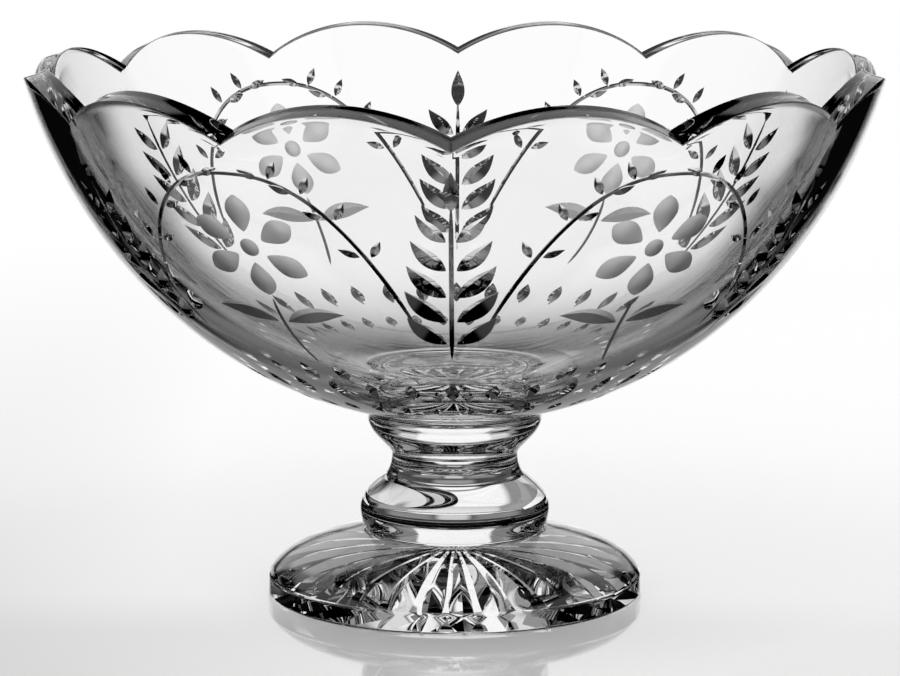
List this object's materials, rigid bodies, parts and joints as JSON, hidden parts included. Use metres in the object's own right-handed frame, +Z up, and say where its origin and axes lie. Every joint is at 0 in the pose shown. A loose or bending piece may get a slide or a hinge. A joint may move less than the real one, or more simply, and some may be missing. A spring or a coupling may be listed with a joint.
{
  "type": "trifle bowl",
  "caption": "Footed trifle bowl of clear cut glass with a scalloped rim, a short stem with a collar and a knop, and a domed foot with rays cut under it.",
  "frame": {"origin": "centre of the foot's underside, on the surface that the bowl stands on", "axes": "+Z up along the axis of the bowl; a notch of the rim lies on each of the X and Y axes"},
  "size_m": [0.249, 0.249, 0.1593],
  "materials": {
    "crystal": "polished"
  },
  "bodies": {
    "root": {"foot": "crystal", "knop": "crystal", "collar": "crystal", "bowl": "crystal"}
  },
  "joints": []
}
